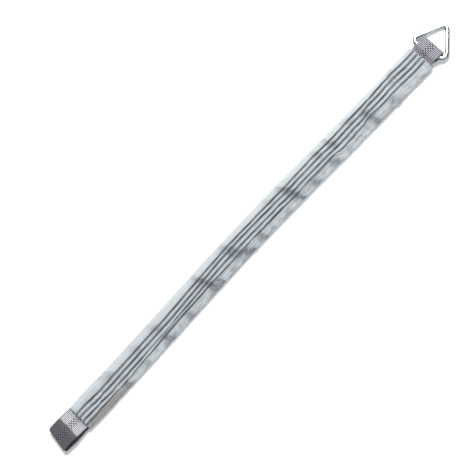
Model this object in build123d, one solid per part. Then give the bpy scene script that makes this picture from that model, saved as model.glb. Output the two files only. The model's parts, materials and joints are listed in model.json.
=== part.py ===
from build123d import *
import os
from math import asin, atan2, cos, degrees, hypot, radians, sin, tan

# Flat web sling: a grey load web of two plies inside a flat woven wear sleeve, with a steel triangle
# ring held in a sewn pocket at one end and a soft, lined eye at the other.
# +X runs along the sling towards the ring, +Y across it, +Z up. The origin is the middle of the
# underside, where the sling rests on a flat surface. All sizes are in millimetres, angles in degrees.

os.makedirs("parts", exist_ok=True)

# Load web
web_width = 50.0
ply_thickness = 2.6

# Wear sleeve: a flat tube with rounded sides, narrower at its two hemmed mouths
sleeve_side_room = 7.5
sleeve_headroom = 1.8
sleeve_wall = 1.0
mouth_side_room = 5.0
mouth_taper_length = 20.0
hem_length = 8.0
hem_wall = 1.6

# The strap bends and twists between sections of equal length, counted out from the middle one
section_length = 74.0
sections_each_side = 6
flex_limit = 35.0
twist_stations = (3, 5)
joint_clearance = 0.3

# Ring pocket: the web turned round the bar of the ring, over a thin liner
ring_seam_length = 3.0
pocket_taper_length = 8.2
pocket_slack = 5.3
liner_thickness = 0.8
liner_side_inset = 1.0
liner_overlap = 4.0
bar_clearance = 0.5
fold_corner_radius = 3.0

# Triangle ring, bent from round wire, with room for the web between its corners
ring_wire = 8.0
ring_side_room = 6.2
ring_apex_angle = 67.0
ring_corner_inner_radius = 6.5
ring_apex_inner_radius = 5.0
ring_yaw = 9.0
ring_slide = 1.5

# Soft eye: two plies that part at the end of the seam and meet again at the tip
eye_seam_length = 9.0
eye_half_length = 27.0
eye_rest_slope = 10.0
eye_closing = 3.0
eye_opening = 35.0
lining_thickness = 0.8
lining_overhang = 2.5
lining_inset = 8.0
lining_joint_gap = 1.3
eye_tip_gap = 1.5

# Stitches: the lengths of thread that show on the faces
stitch_length = 3.0
stitch_pitch = 4.2
stitch_width = 0.8
stitch_height = 0.35
ring_seam_rows = 2
eye_seam_rows = 4
hem_rows = 2

# Worked out from the sizes above
web_thickness = 2 * ply_thickness
sleeve_width = web_width + 2 * sleeve_side_room
sleeve_height = web_thickness + sleeve_headroom + 2 * sleeve_wall
mouth_width = web_width + 2 * mouth_side_room
liner_width = web_width - 2 * liner_side_inset
lining_width = web_width + 2 * lining_overhang
web_mid = sleeve_wall + web_thickness / 2
sleeve_mid = sleeve_height / 2
strap_end = section_length * (sections_each_side + 0.5)
last_station = strap_end - section_length
hem_start = strap_end - hem_length
taper_start = hem_start - mouth_taper_length

flex_relief = (sleeve_height / 2 * sin(radians(flex_limit)) + joint_clearance) / (
    1 + cos(radians(flex_limit))
)
twist_relief = joint_clearance / 2

bar_radius = ring_wire / 2
liner_inner = bar_radius + bar_clearance
fold_inner = liner_inner + liner_thickness
fold_outer = fold_inner + ply_thickness
ring_seam_end = strap_end + ring_seam_length
pocket_back = ring_seam_end + pocket_taper_length
pocket_lean = asin(fold_inner / pocket_taper_length)
ring_flat_end = ring_seam_end - ply_thickness * tan(pocket_lean / 2)
pocket_play = (web_width / 2 + ring_slide) * tan(radians(ring_yaw))
bar_centre = pocket_back + pocket_play
pocket_front = bar_centre + pocket_play + pocket_slack
fold_end = pocket_front + fold_outer

ring_outer_width = web_width + 2 * (ring_side_room + ring_wire)
ring_corner_bend = ring_corner_inner_radius + bar_radius
ring_apex_bend = ring_apex_inner_radius + bar_radius
half_apex = radians(ring_apex_angle / 2)
corner_half_angle = radians((90 - ring_apex_angle / 2) / 2)
ring_half_base = (
    ring_outer_width / 2
    - (ring_corner_bend + bar_radius)
    + ring_corner_bend / tan(corner_half_angle)
)
ring_length = ring_half_base / tan(half_apex)
ring_apex_reach = ring_length - ring_apex_bend * (1 / sin(half_apex) - 1)

eye_start = strap_end + eye_seam_length
eye_ply_length = eye_half_length / cos(radians(eye_rest_slope))
widest_slope = radians(eye_rest_slope + eye_opening)
ply_start_gap = (ply_thickness * sin(widest_slope) + joint_clearance) / cos(widest_slope)


def lift_angle(reach, drop, height):
    """Angle that brings a point, out from the last hinge and below it, to a height above the floor."""
    distance = hypot(reach, drop)
    return degrees(asin((height - sleeve_mid) / distance) + atan2(drop, reach))


web_drop = sleeve_mid - web_mid
eye_rise = eye_half_length * tan(radians(eye_rest_slope))
eye_crest_drop = web_drop + eye_rise + ply_thickness / cos(radians(eye_rest_slope))
ring_lift = lift_angle(pocket_back - last_station, web_drop, fold_outer)
eye_lift = lift_angle(eye_start + eye_half_length - last_station, eye_crest_drop, 0.0)


def lifted(shape, angle):
    """Turn an end of the sling up about its last hinge line, so that its thicker tip lies on the floor."""
    hinge = Pos(last_station, 0, sleeve_mid)
    return hinge * Rot(0, -angle, 0) * hinge.inverse() * shape


def flat_tube(width, height):
    """Cross-section with straight top and bottom and half-round sides."""
    return SlotOverall(width, height)


def run(profile, start, end, height):
    """Carry a cross-section along the sling, centred at a height."""
    return extrude(Plane.YZ.offset(start) * Pos(0, height) * profile, amount=end - start)


def side_plate(outline, width):
    """Carry an outline drawn in X and Z across the sling, half of the width each way."""
    return extrude(Plane.XZ * outline, amount=width / 2, both=True)


def relief(station):
    """How far the ends stand back from a station, so that they pass each other over its whole range."""
    return twist_relief if station in twist_stations else flex_relief


def section_span(number):
    """Start and end of a section, counted out from the middle one, which is 0."""
    outer = section_length * (number + 0.5)
    end = strap_end if number == sections_each_side else outer - relief(number + 1)
    start = -end if number == 0 else outer - section_length + relief(number)
    return start, end


def web_section(number):
    start, end = section_span(number)
    return run(Rectangle(web_width, web_thickness), start, end, web_mid)


def sleeve_section(number):
    start, end = section_span(number)
    wall = flat_tube(sleeve_width, sleeve_height) - flat_tube(
        sleeve_width - 2 * sleeve_wall, sleeve_height - 2 * sleeve_wall
    )
    return run(wall, start, end, sleeve_mid)


def tapered_tube(width, height, mouth_wide, mouth_high, start):
    """Solid of the end of the sleeve: a straight run, then a taper to its mouth."""
    body = Plane.YZ.offset(taper_start) * Pos(0, sleeve_mid) * flat_tube(width, height)
    mouth = Plane.YZ.offset(hem_start) * Pos(0, web_mid) * flat_tube(mouth_wide, mouth_high)
    straight = run(flat_tube(width, height), start, taper_start, sleeve_mid)
    return straight + loft([body, mouth], ruled=True)


def sleeve_end_section():
    start = section_span(sections_each_side)[0]
    outside = tapered_tube(
        sleeve_width, sleeve_height, mouth_width, web_thickness + 2 * sleeve_wall, start
    )
    inside = tapered_tube(
        sleeve_width - 2 * sleeve_wall,
        sleeve_height - 2 * sleeve_wall,
        mouth_width - 2 * sleeve_wall,
        web_thickness,
        start,
    )
    return outside - inside


def sleeve_hem():
    """The turned-in mouth of the sleeve, closed onto the web above and below."""
    inner_width = mouth_width - 2 * sleeve_wall
    band = flat_tube(inner_width + 2 * hem_wall, web_thickness + 2 * hem_wall) - flat_tube(
        inner_width, web_thickness
    )
    return run(band, hem_start, strap_end, web_mid)


def stitch_rows(start, length, rows, face_offset):
    """Rows of stitches across the sling, on the faces above and below the middle of the web."""
    per_row = int((web_width - stitch_length) / stitch_pitch)
    stitches = []
    for row in range(rows):
        x = start + length * (row + 0.5) / rows
        for place in range(per_row):
            y = (place - (per_row - 1) / 2) * stitch_pitch
            for side in (-1, 1):
                z = web_mid + side * (face_offset + stitch_height / 2)
                stitches.append(Pos(x, y, z) * Box(stitch_width, stitch_length, stitch_height))
    return Compound(stitches)


def pocket_outline(radius, apex_shift):
    """Drop-shaped outline: a slot round the places the bar can take, drawn in to a point at the seam."""
    slot_length = pocket_front - pocket_back + 2 * radius
    slot_middle = (pocket_front + pocket_back) / 2
    slot = Pos(slot_middle, web_mid) * SlotOverall(slot_length, 2 * radius)
    point = ring_seam_end - apex_shift
    reach = pocket_back - point
    lean = asin(radius / reach)
    touch_x = pocket_back - radius * sin(lean)
    touch_z = radius * cos(lean)
    wedge = Polyline(
        (point, web_mid),
        (touch_x, web_mid + touch_z),
        (pocket_back, web_mid),
        (touch_x, web_mid - touch_z),
        close=True,
    )
    return slot + make_face(wedge)


def ring_fold():
    """The web at the ring: out of the sleeve, round the bar and back."""
    outer_shift = ply_thickness / sin(pocket_lean)
    seam = Pos((strap_end + pocket_back) / 2, web_mid) * Rectangle(
        pocket_back - strap_end, web_thickness
    )
    outside = pocket_outline(fold_outer, outer_shift)
    behind_mouth = Pos(strap_end - section_length / 2, web_mid) * Rectangle(
        section_length, 2 * fold_outer
    )
    profile = (seam + outside) - behind_mouth - pocket_outline(fold_inner, 0)
    loop = side_plate(profile, web_width)
    plan = Pos((strap_end + fold_end) / 2, 0) * RectangleRounded(
        fold_end - strap_end + 2 * fold_corner_radius, web_width, fold_corner_radius
    )
    plan = Pos(-fold_corner_radius, 0) * plan
    return loop & extrude(plan, amount=web_mid + 2 * fold_outer, both=True)


def ring_liner():
    """Thin liner on the inside of the pocket, where the bar bears."""
    liner_shift = liner_thickness / sin(pocket_lean)
    shell = pocket_outline(fold_inner, 0) - pocket_outline(liner_inner, -liner_shift)
    kept_start = pocket_back - liner_overlap
    kept = Pos((kept_start + fold_end) / 2, web_mid) * Rectangle(
        fold_end - kept_start, 2 * fold_outer
    )
    return side_plate(shell & kept, liner_width)


def ring_wire_loop():
    """The triangle ring flat in X and Y, its bar along Y through the origin and its apex at +X."""
    base_corner = (0, ring_half_base)
    other_corner = (0, -ring_half_base)
    apex = (ring_length, 0)
    path = FilletPolyline(
        base_corner,
        other_corner,
        apex,
        radius=[ring_corner_bend, ring_corner_bend, ring_apex_bend],
        close=True,
    )
    section = Plane(origin=path @ 0, z_dir=path % 0) * Circle(bar_radius)
    return sweep(section, path=path)


def ring_pitch():
    """Nose-down angle, from the line of the sling's end, that lays the apex on the floor."""
    angle = radians(ring_lift)
    reach = bar_centre - last_station
    bar_height = sleeve_mid + reach * sin(angle) - web_drop * cos(angle)
    fall = (bar_height - bar_radius) / ring_apex_reach
    along = sin(angle) * cos(radians(ring_yaw))
    upright = cos(angle)
    return degrees(asin(fall / hypot(along, upright)) + atan2(along, upright))


def ring_in_pocket():
    """The ring in its pocket, slid and turned a little sideways, and laid down on its apex."""
    seat = Pos(bar_centre, ring_slide, web_mid) * Rot(0, 0, ring_yaw) * Rot(0, ring_pitch(), 0)
    return seat * ring_wire_loop()


def placed(outline, start, slope):
    """Put an outline drawn along a ply at its hinge point, leaning by the slope."""
    return Pos(*start) * Rot(0, 0, slope) * outline


def strip(start, end, low, high):
    """Rectangle along a ply, from start to end and from low to high."""
    return Pos((start + end) / 2, (low + high) / 2) * Rectangle(end - start, high - low)


eye_root = (eye_start, web_mid)
eye_crest = (eye_start + eye_half_length, web_mid + eye_rise)


def eye_near_ply():
    """From the seam to the crest, with a rounded nose about the crest's hinge line."""
    nose = Pos(eye_ply_length, 0) * Circle(ply_thickness)
    above = strip(eye_ply_length, eye_ply_length + ply_thickness, 0, ply_thickness)
    outline = strip(ply_start_gap, eye_ply_length, 0, ply_thickness) + (nose & above)
    return side_plate(placed(outline, eye_root, eye_rest_slope), web_width)


def eye_far_ply():
    """From the crest to the tip, hollowed round the near ply's nose."""
    hollow = Circle(ply_thickness + joint_clearance)
    outline = strip(0, eye_ply_length - eye_tip_gap, 0, ply_thickness) - hollow
    return side_plate(placed(outline, eye_crest, -eye_rest_slope), web_width)


def eye_near_lining():
    outline = strip(lining_inset, eye_ply_length - lining_joint_gap, -lining_thickness, 0)
    return side_plate(placed(outline, eye_root, eye_rest_slope), lining_width)


def eye_far_lining():
    outline = strip(lining_joint_gap, eye_ply_length - lining_inset, -lining_thickness, 0)
    return side_plate(placed(outline, eye_crest, -eye_rest_slope), lining_width)


def other_face(shape):
    """The same piece below the middle of the web."""
    return mirror(shape, about=Plane.XY.offset(web_mid))


def ring_side(shape):
    return lifted(shape, ring_lift)


def eye_side(shape):
    return mirror(lifted(shape, eye_lift), about=Plane.YZ)


def section_name(kind, number):
    """Sections are numbered from 01 at the eye to the highest number at the ring."""
    return f"{kind}_{number + sections_each_side + 1:02d}"


def strap_nodes():
    nodes = {}
    for number in range(sections_each_side):
        for kind, make in (("web", web_section), ("sleeve", sleeve_section)):
            shape = make(number)
            nodes[section_name(kind, number)] = shape
            if number:
                nodes[section_name(kind, -number)] = mirror(shape, about=Plane.YZ)
    last = sections_each_side
    for kind, shape in (("web", web_section(last)), ("sleeve", sleeve_end_section())):
        nodes[section_name(kind, last)] = ring_side(shape)
        nodes[section_name(kind, -last)] = eye_side(shape)
    return nodes


def hem_nodes():
    hem = sleeve_hem()
    threads = stitch_rows(hem_start, hem_length, hem_rows, web_thickness / 2 + hem_wall)
    return {
        "sleeve_hem_ring": ring_side(hem),
        "sleeve_hem_eye": eye_side(hem),
        "sleeve_stitching_ring": ring_side(threads),
        "sleeve_stitching_eye": eye_side(threads),
    }


def ring_nodes():
    sewn_length = ring_flat_end - strap_end
    threads = stitch_rows(strap_end, sewn_length, ring_seam_rows, web_thickness / 2)
    return {
        "ring_fold_web": ring_side(ring_fold()),
        "ring_liner": ring_side(ring_liner()),
        "ring_stitching": ring_side(threads),
        "triangle_ring": ring_side(ring_in_pocket()),
    }


def eye_nodes():
    base = run(Rectangle(web_width, web_thickness), strap_end, eye_start, web_mid)
    threads = stitch_rows(strap_end, eye_seam_length, eye_seam_rows, web_thickness / 2)
    nodes = {"eye_base_web": eye_side(base), "eye_stitching": eye_side(threads)}
    pieces = {
        "near": eye_near_ply(),
        "far": eye_far_ply(),
        "near_lining": eye_near_lining(),
        "far_lining": eye_far_lining(),
    }
    for name, shape in pieces.items():
        nodes[f"eye_top_{name}"] = eye_side(shape)
        nodes[f"eye_bottom_{name}"] = eye_side(other_face(shape))
    return nodes


for name, shape in {**strap_nodes(), **hem_nodes(), **ring_nodes(), **eye_nodes()}.items():
    export_step(shape, f"parts/{name}.step")
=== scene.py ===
import json
import math

import bpy
import numpy as np
from mathutils import Matrix, Vector


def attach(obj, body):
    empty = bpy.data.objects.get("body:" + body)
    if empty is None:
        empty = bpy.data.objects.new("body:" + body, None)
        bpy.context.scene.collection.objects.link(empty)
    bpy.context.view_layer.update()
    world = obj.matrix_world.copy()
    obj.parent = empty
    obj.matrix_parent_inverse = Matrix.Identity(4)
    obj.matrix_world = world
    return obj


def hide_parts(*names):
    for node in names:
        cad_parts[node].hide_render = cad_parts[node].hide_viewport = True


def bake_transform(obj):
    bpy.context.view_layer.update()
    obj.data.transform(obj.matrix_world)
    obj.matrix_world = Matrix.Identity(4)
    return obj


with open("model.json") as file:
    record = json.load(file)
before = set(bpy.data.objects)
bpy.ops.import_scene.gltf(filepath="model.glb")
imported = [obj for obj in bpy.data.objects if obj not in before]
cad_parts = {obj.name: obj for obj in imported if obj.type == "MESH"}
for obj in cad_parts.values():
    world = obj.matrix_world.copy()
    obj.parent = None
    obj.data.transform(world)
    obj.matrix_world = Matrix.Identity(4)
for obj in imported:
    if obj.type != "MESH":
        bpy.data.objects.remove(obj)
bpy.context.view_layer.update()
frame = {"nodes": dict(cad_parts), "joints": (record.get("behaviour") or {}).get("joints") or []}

# The visual model of a flat web sling: a grey ribbed load web in a white striped wear sleeve, with a
# plated triangle ring in a sewn pocket at one end and a black-lined soft eye at the other. Metres.

MM = 0.001
JOINTS = {joint["name"]: joint for joint in frame["joints"]}


def joint_point(name):
    return np.array(JOINTS[name]["pos_m"], float)


# ---- sizes, from the frame and the object

SECTIONS = 13
PITCH = joint_point("strap_bend_ring_2")[0] - joint_point("strap_bend_ring_1")[0]
STRAP_END = PITCH * SECTIONS / 2
HINGE_RING = joint_point("strap_bend_ring_6")
HINGE_EYE = joint_point("strap_bend_eye_6")
SLEEVE_MID = HINGE_RING[2]

PLY = 2.6 * MM
WEB_WIDTH = 50 * MM
WEB_DROP = 0.9 * MM             # the middle of the web lies this far below the middle of the sleeve
SLEEVE_WIDTH, SLEEVE_HEIGHT = 67.5 * MM, 9 * MM
MOUTH_HEIGHT = 7.2 * MM
MOUTH_WIDTH = {1: 60.5 * MM, -1: 58 * MM}   # at the ring and at the eye
MOUTH_TAPER = 64 * MM
MOUTH_SET_BACK = {1: 4 * MM, -1: 0.0}       # how far the sleeve has slid back from each end of the strap
SLEEVE_CUT_WIDTH = 140 * MM     # the tube cut open and laid flat
HEM = 8 * MM
LINING = 0.8 * MM
LINING_WIDTH = 56 * MM
RIB = 3.0 * MM                  # pitch of the web's crosswise ribs
RIB_DEPTH = 0.4 * MM
LATTICE_COLUMN = 3.4 * MM
LATTICE_HALF = 2 * LATTICE_COLUMN
BOW = 7.0 * MM                  # how far the sling's middle lies off the straight line
SLEEVE_SLIP = {1: 1.8 * MM, -1: -2.4 * MM}  # how far off the web's middle the sleeve lies at each mouth

WIRE = 4 * MM                   # radius of the ring's wire
RING_HALF_BASE = 44.24 * MM     # the bar's middle to the corner that its straight lines would make
RING_CORNER, RING_APEX = 10.5 * MM, 9 * MM      # radii that the wire's middle line turns on
RING_HALF_ANGLE = math.radians(33.5)

SEAM_END = STRAP_END + 3 * MM
POCKET_BACK = SEAM_END + 8.2 * MM
BAR_PLACE = POCKET_BACK + 4.197 * MM
POCKET_FRONT = POCKET_BACK + 13.694 * MM
POCKET_RADIUS = 5.3 * MM
EYE_START = STRAP_END + 9 * MM
EYE_HALF = 27 * MM
EYE_SLOPE = math.radians(10)
WEB_START = STRAP_END - 11 * MM     # where the webbing of the two ends begins, hidden in the sleeve


def end_lift(name, hinge, reach):
    """The angle that an end of the sling is turned up by, from where the frame put its joint."""
    offset = joint_point(name) - hinge
    return math.atan2(offset[2], abs(offset[0])) + math.atan2(WEB_DROP, reach)


LIFT = {
    1: end_lift("ring_swing", HINGE_RING, BAR_PLACE - HINGE_RING[0]),
    -1: end_lift("eye_open", HINGE_EYE, EYE_START - abs(HINGE_EYE[0])),
}


# ---- the line that the sling lies along

LINE_STEP = 1 * MM
TURN_LENGTH = 27 * MM           # half the length over which an end turns up


def smoothstep(t):
    t = np.clip(t, 0, 1)
    return t * t * (3 - 2 * t)


def centre_line():
    """Distances along the sling with the place and upward turn of its middle line there."""
    s = np.arange(-620, 621) * LINE_STEP
    lift = np.where(s > 0, LIFT[1], LIFT[-1])
    turn = lift * smoothstep((np.abs(s) - HINGE_RING[0] + TURN_LENGTH) / (2 * TURN_LENGTH))
    x, z = np.zeros_like(s), np.zeros_like(s)
    middle = len(s) // 2
    for side in (1, -1):
        order = np.arange(middle, len(s)) if side > 0 else np.arange(middle, -1, -1)
        x[order[1:]] = side * np.cumsum(np.cos(turn[order[:-1]])) * LINE_STEP
        z[order[1:]] = np.cumsum(np.sin(turn[order[:-1]])) * LINE_STEP
    return s, x, z + SLEEVE_MID, turn * np.sign(s)


LINE = centre_line()


def bow(x):
    """The sideways curve that the soft part of the sling lies in."""
    t = np.clip(x / (STRAP_END - HEM), -1, 1)
    return BOW * (1 - t * t) ** 3


def slip(x):
    """How far the sleeve lies to the side of the web's middle."""
    share = (x / STRAP_END + 1) / 2
    return SLEEVE_SLIP[-1] + (SLEEVE_SLIP[1] - SLEEVE_SLIP[-1]) * share


def on_line(s, y, h):
    """Points at distances s along the sling, y across it and h above its middle line."""
    line_s, line_x, line_z, line_turn = LINE
    x, z = np.interp(s, line_s, line_x), np.interp(s, line_s, line_z)
    turn = np.interp(s, line_s, line_turn)
    across = y + bow(s)
    return np.stack([x - h * np.sin(turn), across + 0 * x, z + h * np.cos(turn)], axis=-1)


def in_web(s, y, h):
    """As on_line, with h counted from the middle of the web."""
    return on_line(s, y, h - WEB_DROP)


# ---- meshes

def new_object(name, points, faces, uvs=None, smooth=True):
    """A mesh object from points, faces and one UV pair for each face corner, in metres."""
    mesh = bpy.data.meshes.new(name)
    mesh.from_pydata([tuple(p) for p in points], [], faces)
    if uvs is not None:
        layer = mesh.uv_layers.new(name="cloth")
        layer.data.foreach_set("uv", np.asarray(uvs, np.float32).ravel())
    mesh.polygons.foreach_set("use_smooth", [smooth and len(face) == 4 for face in faces])
    mesh.update()
    made = bpy.data.objects.new(name, mesh)
    bpy.context.scene.collection.objects.link(made)
    return made


def loops_to_mesh(rings, ring_uv, ends="closed"):
    """Faces that look outward, and UVs, of a tube of rings: rings is (count, around, 3) and ring_uv (count,
    around + 1, 2). The ends are "closed", "open" or "joined" to each other, with one more row of ring_uv."""
    count, around = rings.shape[:2]
    across = np.roll(rings[0], -1, axis=0) - rings[0]
    flow = np.sum(np.cross(across, rings[1] - rings[0]) * (rings[0] - rings[0].mean(axis=0)))
    turn = 1 if flow > 0 else -1
    faces, uvs = [], []
    for i in range(count if ends == "joined" else count - 1):
        for j in range(around):
            quad = ((i, j), (i, j + 1), (i + 1, j + 1), (i + 1, j))[::turn]
            faces.append(tuple(a % count * around + b % around for a, b in quad))
            uvs += [ring_uv[a, b] for a, b in quad]
    if ends == "closed":
        for i, order in ((0, range(around)[::-turn]), (count - 1, range(around)[::turn])):
            faces.append(tuple(i * around + j for j in order))
            uvs += [ring_uv[i, j] for j in order]
    return rings.reshape(-1, 3), faces, uvs


# ---- webbing

def web_section(columns, width, thickness, edge):
    """Places across a web and half thicknesses there, from one edge to the other."""
    y = np.linspace(-width / 2, width / 2, columns)
    inside = np.clip((np.abs(y) - (width / 2 - edge)) / edge, 0, 1)
    return y, thickness / 2 * (0.25 + 0.75 * np.sqrt(1 - inside * inside))


def rib_depth(s, y):
    """How far the surface lies below the top of the ribs; in the middle band the floats are staggered."""
    column = np.floor((y + LATTICE_HALF) / LATTICE_COLUMN)
    in_band = np.abs(y) < LATTICE_HALF
    shift = np.where(in_band, math.pi * column, 0.0)
    wave = 0.5 - 0.5 * np.cos(2 * math.pi * s / RIB + shift)
    return RIB_DEPTH * wave ** 1.5


def ribbon(name, path, width, thickness, columns=61, ribs=True, edge=1.3 * MM):
    """A flat strip along a path of (s, x, h) rows, where x runs along the sling and h above the web."""
    s, x, h = path
    dx, dh = np.gradient(x), np.gradient(h)
    length = np.hypot(dx, dh)
    nx, nh = -dh / length, dx / length
    y, half = web_section(columns, width, thickness, edge)
    rings, uv = [], []
    for i in range(len(s)):
        sink = rib_depth(s[i], y) if ribs else 0 * y
        sink = np.minimum(sink, half * 0.6)
        up, down = half - sink, -(half - sink)
        ring_y = np.concatenate([y, y[::-1]])
        ring_t = np.concatenate([up, down[::-1]])
        rings.append(in_web(x[i] + nx[i] * ring_t, ring_y, h[i] + nh[i] * ring_t))
        ring_v = np.concatenate([ring_y, ring_y[:1]])
        uv.append(np.stack([np.full_like(ring_v, s[i]), ring_v], axis=-1))
    return new_object(name, *loops_to_mesh(np.array(rings), np.array(uv)))


def walk(points, step):
    """Even steps along a line of (x, h) points: rows of distance, x and h."""
    points = np.array(points, float)
    gaps = np.hypot(*np.diff(points, axis=0).T)
    along = np.concatenate([[0], np.cumsum(gaps)])
    count = max(2, int(round(along[-1] / step)) + 1)
    s = np.linspace(0, along[-1], count)
    return s, np.interp(s, along, points[:, 0]), np.interp(s, along, points[:, 1])


def arc(centre, radius, start, end, count=24):
    """Points on an arc, from one angle to another, in degrees."""
    angles = np.radians(np.linspace(start, end, count))
    return [(centre[0] + radius * math.cos(a), centre[1] + radius * math.sin(a)) for a in angles]


def smoothed(points, step, reach):
    """The same line with its corners rounded over a reach, ends kept."""
    s, x, h = walk(points, step)
    half = max(1, int(reach / step / 2))
    kernel = np.hanning(2 * half + 3)[1:-1]
    kernel /= kernel.sum()
    for row in (x, h):
        padded = np.concatenate([2 * row[0] - row[half:0:-1], row, 2 * row[-1] - row[-2:-half - 2:-1]])
        row[:] = np.convolve(padded, kernel, mode="valid")
    return s, x, h


def cut(path, start, end):
    """The part of a path between two distances along it, with both included."""
    s = path[0]
    inner = s[(s > start) & (s < end)]
    kept = np.concatenate([[start], inner, [end]])
    return kept, np.interp(kept, s, path[1]), np.interp(kept, s, path[2])


RIB_STEP = RIB / 6


def flipped(path):
    """The same path on the other face of the web."""
    return path[0], path[1], -path[2]


def eye_side(path):
    """A path drawn outward, turned to the eye's end of the sling."""
    return path[0], -path[1], path[2]


# ---- the wear sleeve

RINGS, AROUND = 193, 40
GROWTH = 0.012                  # how much longer the sleeve is woven than the web that it covers
SIM_FRAMES = 36
HELD_RINGS = 4                  # at each mouth, which the hem keeps in shape
FLOOR_GAP = 0.4 * MM


def cross_section(width, height, squareness, count):
    """Points round a flat tube at even spacing, from the middle of its top towards +Y: rows of y and h."""
    t = np.linspace(0, 2 * math.pi, 4001)
    power = 2 / squareness
    y = width / 2 * np.sign(np.sin(t)) * np.abs(np.sin(t)) ** power
    h = height / 2 * np.sign(np.cos(t)) * np.abs(np.cos(t)) ** power
    along = np.concatenate([[0], np.cumsum(np.hypot(np.diff(y), np.diff(h)))])
    even = np.linspace(0, along[-1], count, endpoint=False)
    return np.interp(even, along, y), np.interp(even, along, h)


def sleeve_outline(place, count):
    """Points round the sleeve before it settles, at a distance along the sling: rows of y and h."""
    body_y, body_h = cross_section(SLEEVE_WIDTH, SLEEVE_HEIGHT, 2.5, count)
    mouth_y, mouth_h = cross_section(MOUTH_WIDTH[1 if place > 0 else -1], MOUTH_HEIGHT, 4.0, count)
    near = np.clip((abs(place) - (STRAP_END - MOUTH_TAPER)) / MOUTH_TAPER, 0, 1) ** 1.3
    return body_y * (1 - near) + mouth_y * near, body_h * (1 - near) + (mouth_h - WEB_DROP) * near


def sleeve_rest_shape():
    """Grid of the sleeve's threads before it settles: (rings, around, 3) and the rings' distances."""
    s = np.linspace(-STRAP_END, STRAP_END, RINGS)
    s -= MOUTH_SET_BACK[1] * np.clip((s - (STRAP_END - PITCH / 2)) / (PITCH / 2), 0, 1)
    grid = [on_line(place, *sleeve_outline(place, AROUND)) - np.array([0, bow(place), 0]) for place in s]
    return np.array(grid), s


# Folds left in the sleeve by handling: each runs from one place to another on its face, with its height and
# half width. Places are (along the sling, across it), in mm.
FOLDS = [
    ((-369, -15), (-360, -33), 0.9, 5), ((-402, 31), (-380, 13), 0.7, 4), ((-389, 31), (-372, 15), 0.7, 3.5),
    ((-318, 32), (-300, 6), 0.6, 5), ((-252, -12), (-240, -33), 1.6, 4.5), ((-262, 30), (-244, 4), 0.8, 5),
    ((-134, 28), (-122, 4), 1.5, 4), ((-124, 6), (-116, -14), 1.3, 4.5), ((-118, -12), (-108, -33), 1.9, 4.5),
    ((-104, -14), (-92, -33), 1.3, 4), ((-52, 31), (-40, 2), 1.1, 6), ((-44, 6), (-30, -16), 1.4, 6),
    ((-27, -13), (-4, -33), 1.9, 4.5), ((18, -10), (24, -33), 1.1, 5), ((68, 31), (84, 12), 0.6, 5),
    ((104, 30), (120, 3), 1.3, 4.5), ((116, 8), (122, -14), 1.2, 4.5), ((122, -12), (132, -33), 1.3, 4.5),
    ((160, -12), (176, -33), 0.9, 5), ((198, 31), (214, 10), 0.7, 5), ((212, -12), (232, -33), 1.0, 5.5),
    ((232, 30), (246, 2), 1.1, 4), ((288, 31), (300, 8), 0.5, 5), ((326, 14), (336, -30), 1.0, 5.5),
    ((382, -10), (394, -32), 0.8, 5), ((408, 30), (420, 10), 0.5, 5), ((-190, -10), (-178, -33), 0.9, 5),
]


def raise_folds(grid, normals, across):
    """Lifts the sleeve's upper face along its folds, steeper towards the eye, and gives painted shade for
    that steeper flank.
    """
    lift, fold_shade = np.zeros(grid.shape[:2]), np.zeros(grid.shape[:2])
    along, over = grid[:, :, 0] / MM, across / MM
    for start, end, height, width in FOLDS:
        start, run = np.array(start, float), np.array(end, float) - np.array(start, float)
        length = np.hypot(*run)
        way = run / length
        place = (along - start[0]) * way[0] + (over - start[1]) * way[1]
        off = (over - start[1]) * way[0] - (along - start[0]) * way[1]
        ends = smoothstep((place + 5) / 10) * smoothstep((length + 5 - place) / 10)
        off = off * np.sign(-run[1] + 1e-9)
        lift += height * ends * np.exp(-(off / np.where(off > 0, width, 0.55 * width)) ** 2)
        # painted shade along the steep flank of the fold
        fold_shade += 0.85 * height * ends * np.exp(-((off + 0.9 * width) / (1.7 * width)) ** 2)
    top = smoothstep(normals[:, :, 2:3] * 1.5 + 0.4)
    return grid + normals * lift[:, :, None] * MM * top, np.clip(fold_shade * top[:, :, 0], 0, 1)


def box_object(name, low, high):
    x, y, z = zip(low, high)
    points = [(a, b, c) for a in x for b in y for c in z]
    faces = [(0, 1, 3, 2), (4, 6, 7, 5), (0, 4, 5, 1), (2, 3, 7, 6), (0, 2, 6, 4), (1, 5, 7, 3)]
    return new_object(name, points, faces, smooth=False)


def collide(obj, outer):
    modifier = obj.modifiers.new("Collision", "COLLISION")
    modifier.settings.thickness_outer = outer
    modifier.settings.cloth_friction = 12


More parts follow.
